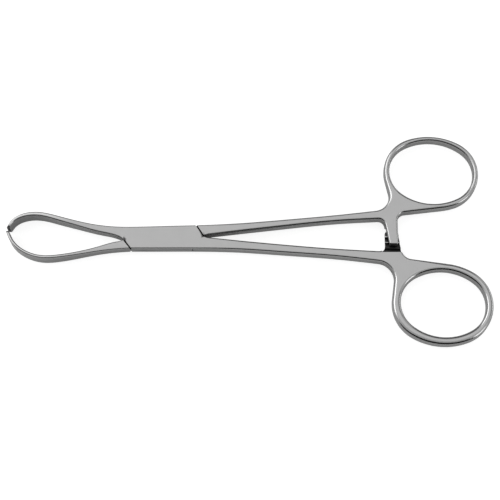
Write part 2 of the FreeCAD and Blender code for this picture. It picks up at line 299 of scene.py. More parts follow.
# A place on the line, and its direction
Line = tuple[np.ndarray, np.ndarray]


def unit(vector: np.ndarray) -> np.ndarray:
    """Return the vector, or each row of an array of them, at length 1."""
    return vector / np.linalg.norm(vector, axis=-1, keepdims=True)


def left_of(direction: np.ndarray) -> np.ndarray:
    """Return the direction turned a quarter to the left, row by row."""
    return np.stack([-direction[..., 1], direction[..., 0]], axis=-1)


def turn_between(first: np.ndarray, second: np.ndarray) -> np.ndarray:
    """Return the cross product of two directions, row by row: above 0 for a turn to the left."""
    return first[:, 0] * second[:, 1] - first[:, 1] * second[:, 0]


def line_through(start: np.ndarray, end: np.ndarray) -> Line:
    """Return the line from one point to another."""
    return start, unit(end - start)


def shifted(line: Line, distance: float) -> Line:
    """Return the line moved to its left."""
    place, way = line
    return place + left_of(way) * distance, way


def crossing(first: Line, second: Line) -> np.ndarray:
    """Return where two lines cross.

    Args:
        first: Place and direction of one line.
        second: Place and direction of the other.

    Returns:
        The crossing, as X and Y.
    """
    (place, way), (other_place, other_way) = first, second
    across = left_of(other_way)
    return place + way * ((other_place - place) @ across / (way @ across))


def band_between(first: Line, second: Line) -> np.ndarray:
    """Return four far corners of the band between two lines that run opposite ways."""
    return np.array([place + way * far for place, way in (first, second) for far in (-FAR, FAR)])


def rectangle(x: tuple[float, float], y: tuple[float, float]) -> np.ndarray:
    """Return the corners of a rectangle in plan, counterclockwise."""
    return np.array([(x[0], y[0]), (x[1], y[0]), (x[1], y[1]), (x[0], y[1])])


class SmoothCurve:
    """Natural cubic spline through points, with chord length as its parameter.

    Between two points it is the cubic whose second derivative runs linearly from one
    point's value to the next, and that value is 0 at both ends.
    """

    def __init__(self, points: np.ndarray) -> None:
        """Solve the spline through the points.

        Args:
            points: Rows of X and Y.
        """
        self.points = np.asarray(points, float)
        chords = np.linalg.norm(np.diff(self.points, axis=0), axis=1)
        self.knots = np.concatenate([[0.0], np.cumsum(chords)])
        slope = np.diff(self.points, axis=0) / chords[:, None]
        system = np.diag(np.concatenate([[1.0], 2 * (chords[:-1] + chords[1:]), [1.0]]))
        system += np.diag(np.append(0.0, chords[1:]), 1)
        system += np.diag(np.append(chords[:-1], 0.0), -1)
        pull = np.zeros_like(self.points)
        pull[1:-1] = 6 * np.diff(slope, axis=0)
        self.bends = np.linalg.solve(system, pull)

    def _span(self, places: np.ndarray) -> tuple[np.ndarray, ...]:
        """Return the span number of each place, its length and the way to both ends.

        Args:
            places: Parameters on the curve.

        Returns:
            Span numbers and lengths, the way from the span's start and that to its end.
        """
        last = len(self.knots) - 2
        span = np.clip(np.searchsorted(self.knots, places, side="right") - 1, 0, last)
        length = (self.knots[span + 1] - self.knots[span])[:, None]
        after = (places - self.knots[span])[:, None]
        return span, length, after, length - after

    def at(self, places: np.ndarray) -> np.ndarray:
        """Return the curve's points at those parameters.

        Args:
            places: Parameters on the curve.

        Returns:
            Rows of X and Y.
        """
        span, length, after, before = self._span(places)
        first, second = self.bends[span], self.bends[span + 1]
        start = self.points[span] / length - first * length / 6
        end = self.points[span + 1] / length - second * length / 6
        bowed = (first * before**3 + second * after**3) / (6 * length)
        return bowed + start * before + end * after

    def heading(self, places: np.ndarray) -> np.ndarray:
        """Return the curve's unit directions at those parameters.

        Args:
            places: Parameters on the curve.

        Returns:
            Rows of unit directions.
        """
        span, length, after, before = self._span(places)
        first, second = self.bends[span], self.bends[span + 1]
        chord = (self.points[span + 1] - self.points[span]) / length
        turn = (second * after**2 - first * before**2) / (2 * length)
        return unit(turn + chord - (second - first) * length / 6)

    def sampled(self, spacing: float) -> np.ndarray:
        """Return points along the whole curve, about that far apart."""
        count = math.ceil(self.knots[-1] / spacing) + 1
        return self.at(np.linspace(0.0, self.knots[-1], count))

    def arrival(self) -> np.ndarray:
        """Return the direction in which the curve ends."""
        return self.heading(self.knots[-1:])[0]


@dataclass(frozen=True)
class Oval:
    """A tilted oval of four tangent arcs, whose points are told by the way they face."""

    centre: tuple[float, float]
    half_length: float
    half_width: float
    fullness: float
    tilt: float = -5.0

    def _arcs(self) -> tuple[float, float, float, float]:
        """Work out the four arcs, each centred on an axis of the oval.

        Returns:
            Radius and offset of the end arcs, radius and offset of the side arcs.
        """
        end_radius = self.half_width * self.fullness
        end_offset = self.half_length - end_radius
        rest = end_offset**2 + self.half_width**2 - end_radius**2
        side_radius = rest / (2 * (self.half_width - end_radius))
        return end_radius, end_offset, side_radius, side_radius - self.half_width

    def _ways(self) -> tuple[np.ndarray, np.ndarray]:
        """Work out the directions of the long and the short axis.

        Returns:
            Two unit directions, the short one to the left of the long one.
        """
        turn = math.radians(self.tilt)
        long_way = np.array([math.cos(turn), math.sin(turn)])
        return long_way, left_of(long_way)

    def at(self, degrees: np.ndarray | float) -> np.ndarray:
        """Return the points of the oval that face given ways.

        Args:
            degrees: The ways, counted from the long axis.

        Returns:
            A row of X and Y for each.
        """
        end_radius, end_offset, side_radius, side_offset = self._arcs()
        facing = np.radians(np.asarray(degrees, float))[..., None]
        cos, sin = np.cos(facing), np.sin(facing)
        on_end = np.abs(sin) < math.sin(math.atan2(side_offset, end_offset))
        radius = np.where(on_end, end_radius, side_radius)
        along = np.where(on_end, np.sign(cos) * end_offset, 0) + cos * radius
        across = np.where(on_end, 0, -np.sign(sin) * side_offset) + sin * radius
        long_way, short_way = self._ways()
        return np.array(self.centre) + along * long_way + across * short_way

    def heading(self, degrees: float) -> np.ndarray:
        """Return the direction along the oval at a point.

        Args:
            degrees: The way that the point faces, from the long axis.

        Returns:
            The unit direction, anticlockwise.
        """
        facing = math.radians(degrees)
        long_way, short_way = self._ways()
        return left_of(math.cos(facing) * long_way + math.sin(facing) * short_way)

    def beyond(self, places: np.ndarray) -> np.ndarray:
        """Return how far outside the oval each place lies.

        Args:
            places: Rows of X and Y.

        Returns:
            A distance for each, less than 0 inside the oval.
        """
        end_radius, end_offset, side_radius, side_offset = self._arcs()
        long_way, short_way = self._ways()
        offset = places - np.array(self.centre)
        along, across = np.abs(offset @ long_way), np.abs(offset @ short_way)
        past_joint = along * side_offset > (across + side_offset) * end_offset
        to_end = np.hypot(along - end_offset, across) - end_radius
        to_side = np.hypot(along, across + side_offset) - side_radius
        return np.where(past_joint, to_end, to_side)

    def arc(self, start: float, end: float, spacing: float) -> np.ndarray:
        """Return points from one facing to another, about that far apart."""
        length = abs(math.radians(end - start)) * self.half_length
        return self.at(np.linspace(start, end, math.ceil(length / spacing) + 1))


@dataclass(frozen=True)
class Bar:
    """A bent bar in plan, told by stations along its middle.

    A station has its share of the way along X, the Y of the middle and the width there.
    """

    start_x: float
    end_x: float
    stations: tuple[tuple[float, float, float], ...]
    end_way: tuple[float, float] | None = None

    def sides(self) -> tuple[np.ndarray, np.ndarray]:
        """Return both sides of the bar, with one point of each for each station.

        Returns:
            Rows of X and Y on the left side, and on the right side.
        """
        share, y, width = np.array(self.stations).T
        middle = np.column_stack([self.start_x + share * (self.end_x - self.start_x), y])
        curve = SmoothCurve(middle)
        ways = curve.heading(curve.knots)
        if self.end_way is not None:
            ways[-1] = self.end_way
        half = left_of(ways) * width[:, None] / 2
        return middle + half, middle - half


def rounded(
    start: np.ndarray, corner: np.ndarray, end: np.ndarray, radius: float, turn_step: float = 7.0
) -> np.ndarray:
    """Return points from start to end round a corner with a tangent arc.

    Args:
        start: Where the first straight run begins.
        corner: Where the two straight runs would meet.
        end: Where the second run ends.
        radius: Radius of the arc.
        turn_step: Largest turn between two points of the arc, in degrees.

    Returns:
        The start, the points of the arc and the end.
    """
    first = unit(start - corner)
    second = unit(end - corner)
    half_angle = math.acos(float(np.clip(first @ second, -1, 1))) / 2
    bisector = unit(first + second)
    centre = corner + bisector * radius / math.sin(half_angle)
    reach = radius / math.tan(half_angle)
    spoke = corner + first * reach - centre
    side = corner + second * reach - centre
    turn = math.pi - 2 * half_angle
    swing = left_of(spoke) * math.copysign(1.0, float(left_of(spoke) @ side))
    angles = np.linspace(0.0, turn, math.ceil(math.degrees(turn) / turn_step) + 1)[:, None]
    arc = centre + np.cos(angles) * spoke + np.sin(angles) * swing
    return np.vstack([start, arc, end])


@dataclass
class Outline:
    """A closed line in plan, made of runs whose edge is rounded or sharp."""

    points: list[np.ndarray] = field(default_factory=list)
    shares: list[np.ndarray] = field(default_factory=list)
    fade_length: float = 1.2

    def add(self, points: np.ndarray, first: float = 1.0, last: float = 1.0) -> None:
        """Add a rounded run that starts where the last one ends.

        Args:
            points: The points of the run.
            first: Share of the full rounding at its first point.
            last: Share of the full rounding at its last point.
        """
        steps = np.linalg.norm(np.diff(points, axis=0), axis=1)
        since = np.concatenate([[0.0], np.cumsum(steps)])
        left = since[-1] - since
        growth = first + (1 - first) * since / self.fade_length
        decline = last + (1 - last) * left / self.fade_length
        share = np.minimum(np.minimum(growth, decline), 1.0)
        self.points.append(points[:-1])
        self.shares.append(np.stack([share[:-1], share[1:]], axis=-1))

    def add_sharp(self, start: np.ndarray) -> None:
        """Add a straight segment with a sharp edge, up to the start of the next run."""
        self.points.append(start[None])
        self.shares.append(np.zeros((1, 2)))

    def closed(self, shortest: float = 1e-6) -> tuple[np.ndarray, np.ndarray]:
        """Join the runs to one closed line.

        A point's segment runs to the following point, and has one share at each end.

        Args:
            shortest: Length below which a segment is dropped.

        Returns:
            The points counterclockwise, and the two shares of each one's segment.
        """
        points, shares = np.vstack(self.points), np.vstack(self.shares)
        real = np.linalg.norm(np.roll(points, -1, axis=0) - points, axis=1) > shortest
        points, shares = points[real], shares[real]
        if turn_between(points, np.roll(points, -1, axis=0)).sum() < 0:
            points, shares = points[::-1], np.roll(shares[::-1, ::-1], -1, axis=0)
        return points, shares


@dataclass(frozen=True)
class EdgeRound:
    """Size of an elliptic edge rounding: its width in plan and its depth along Z."""

    width: float
    depth: float

    def size(self) -> np.ndarray:
        """Return width and depth as an array."""
        return np.array([self.width, self.depth])


def mixed(here: np.ndarray, there: np.ndarray, share: np.ndarray) -> np.ndarray:
    """Return rows on the way from here to there, each by its share."""
    return here + (there - here) * share[:, None]


def smooth_step(start: float, end: float, values: np.ndarray) -> np.ndarray:
    """Return 0 before start and 1 after end, with a smooth step 3 u^2 - 2 u^3 between."""
    u = np.clip((values - start) / (end - start), 0.0, 1.0)
    return u * u * (3 - 2 * u)


# Meshes


@dataclass
class Shape:
    """A mesh in the making: corners in millimetres, faces and each face's skin."""

    corners: np.ndarray
    faces: list[tuple[int, ...]]
    skins: np.ndarray

    def mesh(self, name: str, finishes: tuple[BrushedSteel, ...]) -> bpy.types.Mesh:
        """Make the Blender mesh, in metres, with one material slot for each finish.

        Args:
            name: Name of the mesh.
            finishes: The finishes, in the order of their slots.

        Returns:
            The mesh.
        """
        mesh = bpy.data.meshes.new(name)
        mesh.from_pydata((self.corners * MM).tolist(), [], self.faces)
        for finish in finishes:
            mesh.materials.append(bpy.data.materials.get(finish.name) or finish.material())
        mesh.polygons.foreach_set("material_index", self.skins.astype(np.int32))
        mesh.polygons.foreach_set("use_smooth", np.ones(len(mesh.polygons), bool))
        mesh.update()
        return mesh


def linked(name: str, data: bpy.types.ID) -> bpy.types.Object:
    """Put an object into the scene.

    Args:
        name: Name of the object.
        data: Its mesh, lamp or camera.

    Returns:
        The object, at the origin.
    """
    thing = bpy.data.objects.new(name, data)
    bpy.context.scene.collection.objects.link(thing)
    return thing


def inset_ways(points: np.ndarray, shares: np.ndarray) -> np.ndarray:
    """Return the way from each point of a closed line to its place one unit further in.

    The material is on the line's left. Between two rounded segments, or two sharp ones,
    the way is the sum of both inward normals over one plus the normals' dot product.
    Where one of the two is sharp, the way runs along that one instead, as far as brings
    it one unit inside the other.

    Args:
        points: The closed line.
        shares: Share of the rounding at both ends of each segment.

    Returns:
        A row of X and Y for each point.
    """
    along = unit(np.roll(points, -1, axis=0) - points)
    along_before = np.roll(along, 1, axis=0)
    inward, inward_before = left_of(along), left_of(along_before)
    mitre = (inward + inward_before) / (1 + np.sum(inward * inward_before, 1, keepdims=True))
    rounded_after = (shares.max(axis=1) > 0)[:, None]
    rounded_before = np.roll(rounded_after, 1, axis=0)
    steep = np.sum(along * inward_before, 1, keepdims=True)
    steep_before = np.sum(along_before * inward, 1, keepdims=True)
    ways = np.where(rounded_before & ~rounded_after, along / np.where(steep, steep, 1), mitre)
    slide = along_before / np.where(steep_before, steep_before, 1)
    return np.where(rounded_after & ~rounded_before, slide, ways)


def is_within(places: np.ndarray, line: np.ndarray) -> np.ndarray:
    """Find which places lie within a closed line, by an even-odd count of crossings.

    Args:
        places: Rows of X and Y.
        line: The closed line's points.

    Returns:
        True for each place within the line.
    """
    here, following = line[None], np.roll(line, -1, axis=0)[None]
    x, y = places[:, None, 0], places[:, None, 1]
    astride = (here[..., 1] > y) != (following[..., 1] > y)
    rise = np.where(astride, following[..., 1] - here[..., 1], 1.0)
    reach = here[..., 0] + (y - here[..., 1]) / rise * (following[..., 0] - here[..., 0])
    return (astride & (reach > x)).sum(axis=1) % 2 == 1


def infill(outer: np.ndarray, opening: np.ndarray, pitch: float) -> np.ndarray:
    """Return grid points between two closed lines, half a pitch or more from their points.

    Args:
        outer: The outer line's points.
        opening: The inner line's points.
        pitch: Width of a square of the grid.

    Returns:
        Rows of X and Y.
    """
    low, high = outer.min(axis=0), outer.max(axis=0)
    x, y = np.meshgrid(np.arange(low[0], high[0], pitch), np.arange(low[1], high[1], pitch))
    grid = np.column_stack([x.ravel(), y.ravel()])
    grid = grid[is_within(grid, outer) & ~is_within(grid, opening)]
    rims = np.vstack([outer, opening])
    nearest = np.linalg.norm(grid[:, None] - rims[None], axis=2).min(axis=1)
    return grid[nearest > pitch / 2]


def wall_grid(
    points: np.ndarray, shares: np.ndarray, sizes: np.ndarray, surface: "ClampFaces", steps: int
) -> tuple[np.ndarray, np.ndarray]:
    """Carry a rounded edge profile round a closed line in plan.

    A row of the profile at angle a lies w (1 - cos a) inside the line and d (1 - sin a)
    below the face, w and d being the width and depth of the rounding there. Rows run
    from the back face, down its rounding, up the wall and over the rounding to the front
    face.

    Args:
        points: The closed line, with the material on its left.
        shares: Share of the rounding at both ends of the segment after each point.
        sizes: Full width and depth of the rounding at each point.
        surface: The front and back face.
        steps: Faces across a rounding.

    Returns:
        The corners, point by point within each row, and the quads between the rows.
    """
    angles = np.linspace(0.0, math.pi / 2, steps + 1)
    inset = np.concatenate([1 - np.cos(angles[::-1]), 1 - np.cos(angles)])[:, None]
    drop = np.concatenate([1 - np.sin(angles[::-1]), 1 - np.sin(angles)])[:, None]
    front = (np.arange(len(inset)) > steps)[:, None]
    ways = inset_ways(points, shares)
    share = np.maximum(shares[:, 0], np.roll(shares[:, 1], 1))
    width, depth = (share * sizes[:, column] for column in range(2))
    plan = points[None] + inset[..., None] * width[None, :, None] * ways[None]
    rise = surface.rise(plan[..., 0])
    sunk = depth[None] * drop
    height = np.where(front, surface.thickness + rise - sunk, sunk - rise)
    corners = np.concatenate([plan, height[..., None]], axis=-1).reshape(-1, 3)
    count = len(points)
    row, column = np.meshgrid(np.arange(len(inset) - 1), np.arange(count), indexing="ij")
    following = (column + 1) % count
    quads = np.stack(
        [
            row * count + column,
            row * count + following,
            (row + 1) * count + following,
            (row + 1) * count + column,
        ],
        axis=-1,
    )
    return corners, quads.reshape(-1, 4)


def prism(
    corners: np.ndarray, shift: np.ndarray, skin: Skin, end_skin: Skin | None = None
) -> Shape:
    """Carry a flat polygon of corners along a straight shift to a closed solid.

    Args:
        corners: Rows of X, Y and Z.
        shift: The way from the polygon to the far end.
        skin: Skin of the sides.
        end_skin: Skin of both ends, where it is another.

    Returns:
        The closed solid.
    """
    count = len(corners)
    normal = np.cross(corners[1] - corners[0], corners[2] - corners[1])
    if normal @ shift < 0:
        corners = corners[::-1]
    here = np.arange(count)
    following = (here + 1) % count
    sides = np.stack([here, following, following + count, here + count], axis=-1)
    faces = [tuple(here[::-1].tolist()), tuple((here + count).tolist())]
    faces += [tuple(side) for side in sides.tolist()]
    skins = np.full(len(faces), skin)
    skins[:2] = skin if end_skin is None else end_skin
    return Shape(np.vstack([corners, corners + shift]), faces, skins)


def upright_prism(
    plan: np.ndarray, low: float, high: float, skin: Skin, end_skin: Skin | None = None
) -> Shape:
    """Return a prism over a polygon in plan, from one height to another."""
    corners = np.column_stack([plan, np.full(len(plan), low)])
    return prism(corners, np.array([0.0, 0.0, high - low]), skin, end_skin)


def turned(profile: np.ndarray, skins: tuple[Skin, ...], count: int = 96) -> Shape:
    """Turn a profile about the pivot axis.

    A corner at radius r and height h becomes the ring (r cos a, r sin a, h) for evenly
    spaced angles a. The first and last corner of the profile are the centres of flat
    ends.

    Args:
        profile: Rows of radius and height, from the lower centre to the upper one.
        skins: The skin of each step of the profile.
        count: Corners on each ring.

    Returns:
        The closed solid.
    """
    angles = np.linspace(0.0, 2 * math.pi, count, endpoint=False)
    spokes = np.stack([np.cos(angles), np.sin(angles)], axis=-1)
    rings = profile[1:-1]
    plan = rings[:, None, :1] * spokes[None]
    height = np.broadcast_to(rings[:, None, 1:], (*plan.shape[:2], 1))
    corners = np.concatenate([plan, height], axis=-1).reshape(-1, 3)
    column = np.arange(count)
    following = (column + 1) % count
    bottom = tuple(column[::-1].tolist())
    top = tuple((column + (len(rings) - 1) * count).tolist())
    faces = [bottom]
    face_skins = [skins[0]]
    for row, skin in zip(range(len(rings) - 1), skins[1:]):
        low, high = row * count, (row + 1) * count
        quads = np.stack([low + column, low + following, high + following, high + column], -1)
        faces += [tuple(quad) for quad in quads.tolist()]
        face_skins += [skin] * count
    return Shape(corners, faces + [top], np.array(face_skins + [skins[-1]]))


# The clamp


@dataclass(frozen=True)
class ClampFaces:
    """Front and back face: level at the box, shanks and rings, and parting at the jaws."""

    thickness: float
    jaw_width: float
    flare_start: float
    flare_end: float

    def rise(self, x: np.ndarray) -> np.ndarray:
        """Return how far each face stands out of the level one at that X.

        The rise is the smooth step 3 u^2 - 2 u^3, and the distance along X is the share
        1.5 u - 1.5 u^2 + u^3 of the flare, both told by the same u from 0 to 1.

        Args:
            x: X of each place.

        Returns:
            The rise at each place.
        """
        u = np.linspace(0.0, 1.0, 200)
        share = np.clip((-x - self.flare_start) / (self.flare_end - self.flare_start), 0.0, 1.0)
        rise = np.interp(share, 1.5 * u - 1.5 * u**2 + u**3, 3 * u**2 - 2 * u**3)
        return rise * (self.jaw_width - self.thickness) / 2


@dataclass(frozen=True)
class PinForm:
    """Pivot pin: a shank whose two ends fill their countersinks, flush with the plates."""

    thickness: float
    diameter: float = 3.0
    head_diameter: float = 3.8
    head_depth: float = 0.4
    bore_gap: float = 0.05

    def profile(self, past: float = 0.0) -> np.ndarray:
        """Return the corners of the pin's outline, or of the hole that it fills.

        Args:
            past: How far its ends are carried past the faces.

        Returns:
            Rows of radius and height.
        """
        radius, head = self.diameter / 2, self.head_diameter / 2
        rim = [(head, 0)] if past else []
        low_side = [(0, -past), (head, -past), *rim, (radius, self.head_depth)]
        high_side = [(at_radius, self.thickness - height) for at_radius, height in low_side]
        return np.array(low_side + high_side[::-1], float)

    def pin(self) -> Shape:
        """Return the pin itself."""
        skins = (Skin.FACE, Skin.WALL, Skin.WALL, Skin.WALL, Skin.FACE)
        return turned(self.profile(), skins)

    def countersink(self) -> Shape:
        """Return the hole that the pin fills in the plates."""
        return turned(self.profile(PAST), (Skin.WALL,) * 7)

    def bore(self) -> Shape:
        """Return the hole in the tongue, in which the pin turns.

        Returns:
            A plain round rod that runs past both faces.
        """
        radius = self.diameter / 2 + self.bore_gap
        low, high = -PAST, self.thickness + PAST
        profile = np.array([(0, low), (radius, low), (radius, high), (0, high)])
        return turned(profile, (Skin.WALL,) * 3)


class Corner(Enum):
    """A corner of the box in plan."""

    TOP_LEFT = auto()
    TOP_RIGHT = auto()
    BOTTOM_LEFT = auto()
    BOTTOM_RIGHT = auto()
    LEFT_CROTCH = auto()
    RIGHT_CROTCH = auto()


TOP = (Corner.TOP_LEFT, Corner.TOP_RIGHT)
BOTTOM = (Corner.BOTTOM_LEFT, Corner.BOTTOM_RIGHT)


@dataclass(frozen=True)
class TongueCorners:
    """The four corners of the tongue in plan, clear of the slot and the seams."""

    left: np.ndarray
    right: np.ndarray
    top: np.ndarray
    bottom: np.ndarray


@dataclass(frozen=True)
class BoxEdges:
    """How a half's outline passes the box.

    One edge of the box carries on its jaw and the other its shank, and both begin on the
    inside at a crotch.
    """

    jaw_edge: list[np.ndarray]
    shank_edge: list[np.ndarray]
    jaw_crotch: np.ndarray
    shank_crotch: np.ndarray


@dataclass(frozen=True)
class BoxForm:
    """Plan of the box lock, where the tongue of one half passes through the other."""

    half_length: float = 8.7
    crotch_x: float = 10.9
    crotch_offset: float = 0.3
    top_left_y: float = 3.2
    top_right_y: float = 3.62
    bottom_y: float = -3.05
    slot_half_length: float = 8.1
    plate_wall: float = 1.05
    slide_gap: float = 0.05
    seam_gap: float = 0.4
    wall_gap: float = 0.2

    def place(self, corner: Corner) -> np.ndarray:
        """Return X and Y of a corner."""
        return np.array(
            {
                Corner.TOP_LEFT: (-self.half_length, self.top_left_y),
                Corner.TOP_RIGHT: (self.half_length, self.top_right_y),
                Corner.BOTTOM_LEFT: (-self.half_length, self.bottom_y),
                Corner.BOTTOM_RIGHT: (self.half_length, self.bottom_y),
                Corner.LEFT_CROTCH: (-self.crotch_x, -self.crotch_offset),
                Corner.RIGHT_CROTCH: (self.crotch_x, self.crotch_offset),
            }[corner]
        )

    def edge(self, ends: tuple[Corner, Corner]) -> list[np.ndarray]:
        """Return the start, the middle and the end of an edge."""
        start, end = (self.place(corner) for corner in ends)
        return [start, (start + end) / 2, end]

    def through(self, start: Corner, end: Corner) -> Line:
        """Return the line from one corner to another."""
        return line_through(self.place(start), self.place(end))

    def slot_walls(self) -> tuple[Line, Line]:
        """Work out the two end walls of the slot.

        Returns:
            The left and the right wall, both towards the top.
        """
        upright = np.array([-self.slot_half_length, 0.0]), np.array([0.0, 1.0])
        slot_top = crossing(self.through(*TOP), upright)
        slot_bottom = np.array([self.slot_half_length, self.bottom_y])
        left, right = self.place(Corner.LEFT_CROTCH), self.place(Corner.RIGHT_CROTCH)
        return line_through(left, slot_top), line_through(slot_bottom, right)

    def slot(self) -> np.ndarray:
        """Return four corners of the band between both end walls of the slot."""
        (place, way), right = self.slot_walls()
        return band_between(right, (place, -way))

    def seams(self, gap: float) -> tuple[Line, Line]:
        """Return both seams, the left one upwards and the right one downwards.

        Args:
            gap: How far each is moved out.

        Returns:
            The left and the right seam.
        """
        left = self.through(Corner.BOTTOM_LEFT, Corner.LEFT_CROTCH)
        right = self.through(Corner.TOP_RIGHT, Corner.RIGHT_CROTCH)
        return shifted(left, gap), shifted(right, gap)

    def between_seams(self, gap: float) -> np.ndarray:
        """Return four corners of the band between both seams, each moved out by a gap."""
        return band_between(*self.seams(gap))

    def tongue(self) -> TongueCorners:
        """Work out where the tongue's ends meet the seams and the box's edges.

        Returns:
            The four corners of the tongue.
        """
        left_wall, right_wall = self.slot_walls()
        left_wall, right_wall = shifted(left_wall, -self.wall_gap), shifted(right_wall, self.wall_gap)
        left_seam, right_seam = self.seams(self.seam_gap)
        bottom = self.place(Corner.BOTTOM_LEFT), np.array([1.0, 0.0])
        return TongueCorners(
            left=crossing(left_wall, left_seam),
            right=crossing(right_wall, right_seam),
            top=crossing(left_wall, self.through(*TOP)),
            bottom=crossing(right_wall, bottom),
        )


@dataclass(frozen=True)
class Handle:
    """Shank, ratchet arm, finger ring and the webs that join them, in plan.

    The arm's near side runs from arm_near towards the shank, and its far side from
    arm_far towards the ring. The web leaves the ring where it faces web_turn, and the
    neck where it faces neck_turn, in degrees from the ring's long axis.
    """

    shank: Bar
    opening: Oval
    ring: Oval
    arm_near: tuple[float, float]
    near_way: tuple[float, float]
    arm_far: tuple[float, float]
    far_way: tuple[float, float]
    web_turn: float
    neck_turn: float
    web_corner: float
    neck_corner: float
    inner_corner: float = 1.8
    arm_corner: float = 0.5

    def arm_end(self) -> np.ndarray:
        """Return the middle of the arm's end."""
        return (np.array(self.arm_near) + np.array(self.arm_far)) / 2

    def trace(self, inner: np.ndarray, outer: np.ndarray, spacing: float) -> np.ndarray:
        """Return the line from the box along the shank, round the handle and back.

        Args:
            inner: Points of the edge between the shanks, from the box outwards.
            outer: Points of the edge away from the other shank, from the box outwards.
            spacing: Distance between points on the curves.

        Returns:
            The points of the line.
        """
        near, far = np.array(self.arm_near), np.array(self.arm_far)
        inner_curve, outer_curve = SmoothCurve(inner), SmoothCurve(outer)
        foot = crossing((inner[-1], inner_curve.arrival()), (near, np.array(self.near_way)))
        web_start, neck_start = self.ring.at(self.web_turn), self.ring.at(self.neck_turn)
        web_way, neck_way = self.ring.heading(self.web_turn), self.ring.heading(self.neck_turn)
        web = crossing((far, np.array(self.far_way)), (web_start, web_way))
        neck = crossing((outer[-1], outer_curve.arrival()), (neck_start, neck_way))
        near_middle, far_middle = (foot + near) / 2, (far + web) / 2
        runs = [
            inner_curve.sampled(spacing),
            rounded(inner[-1], foot, near_middle, self.inner_corner),
            rounded(near_middle, near, self.arm_end(), self.arm_corner),
            rounded(self.arm_end(), far, far_middle, self.arm_corner),
            rounded(far_middle, web, web_start, self.web_corner),
            self.ring.arc(self.web_turn, self.neck_turn, spacing),
            rounded(neck_start, neck, outer[-1], self.neck_corner),
            outer_curve.sampled(spacing)[::-1],
        ]
        return np.vstack(runs)


@dataclass(frozen=True)
class RatchetForm:
    """Sizes that both ratchet arms share.

    The lean is a groove's width over the pitch. The crests keep the plain steel of the
    edges, clear of the ratchet's painted shade, from so many pitches past the arm's step
    on, and up to a little past the last groove.
    """

    near_x: float
    far_x: float
    gap: float = 0.1
    depth: float = 0.6
    pitch: float = 1.6
    lean: float = 0.9
    count: int = 3
    bright_from: float = 1.4
    bright_past: float = 0.2

    def bright_zone(self, step: float) -> tuple[float, float]:
        """Return where the crests are bright, as the span of Y from an arm's step on."""
        start, end = self.bright_from, self.count + self.bright_past
        return step + start * self.pitch, step + end * self.pitch

    def grooves(self, first_y: float, face: float, side: int) -> list[Shape]:
        """Return the wedges between the teeth, on a circle about the pivot.

        Args:
            first_y: Y of the steep side of the first groove.
            face: Height of the arm's milled face.
            side: 1 where the steel lies below that face, and -1 where it lies above.

        Returns:
            One wedge for each groove.
        """
        mean_radius = (self.near_x + self.far_x) / 2
        over = self.depth / 4
        floor, past = face - side * self.depth, face + side * over
        widening = side * self.pitch * self.lean * (1 + over / self.depth)
        start = self.near_x - PAST
        section = np.array([(start, 0, past), (start, 0, floor), (start, -widening, past)], float)
        shift = np.array([self.far_x - self.near_x + 3 * PAST, 0.0, 0.0])
        shapes = []
        for index in range(self.count):
            turn = (first_y + index * self.pitch) / mean_radius
            cos, sin = math.cos(turn), math.sin(turn)
            spin = np.array([(cos, sin, 0), (-sin, cos, 0), (0, 0, 1)])
            shapes.append(prism(section @ spin, shift @ spin, Skin.RATCHET))
        return shapes


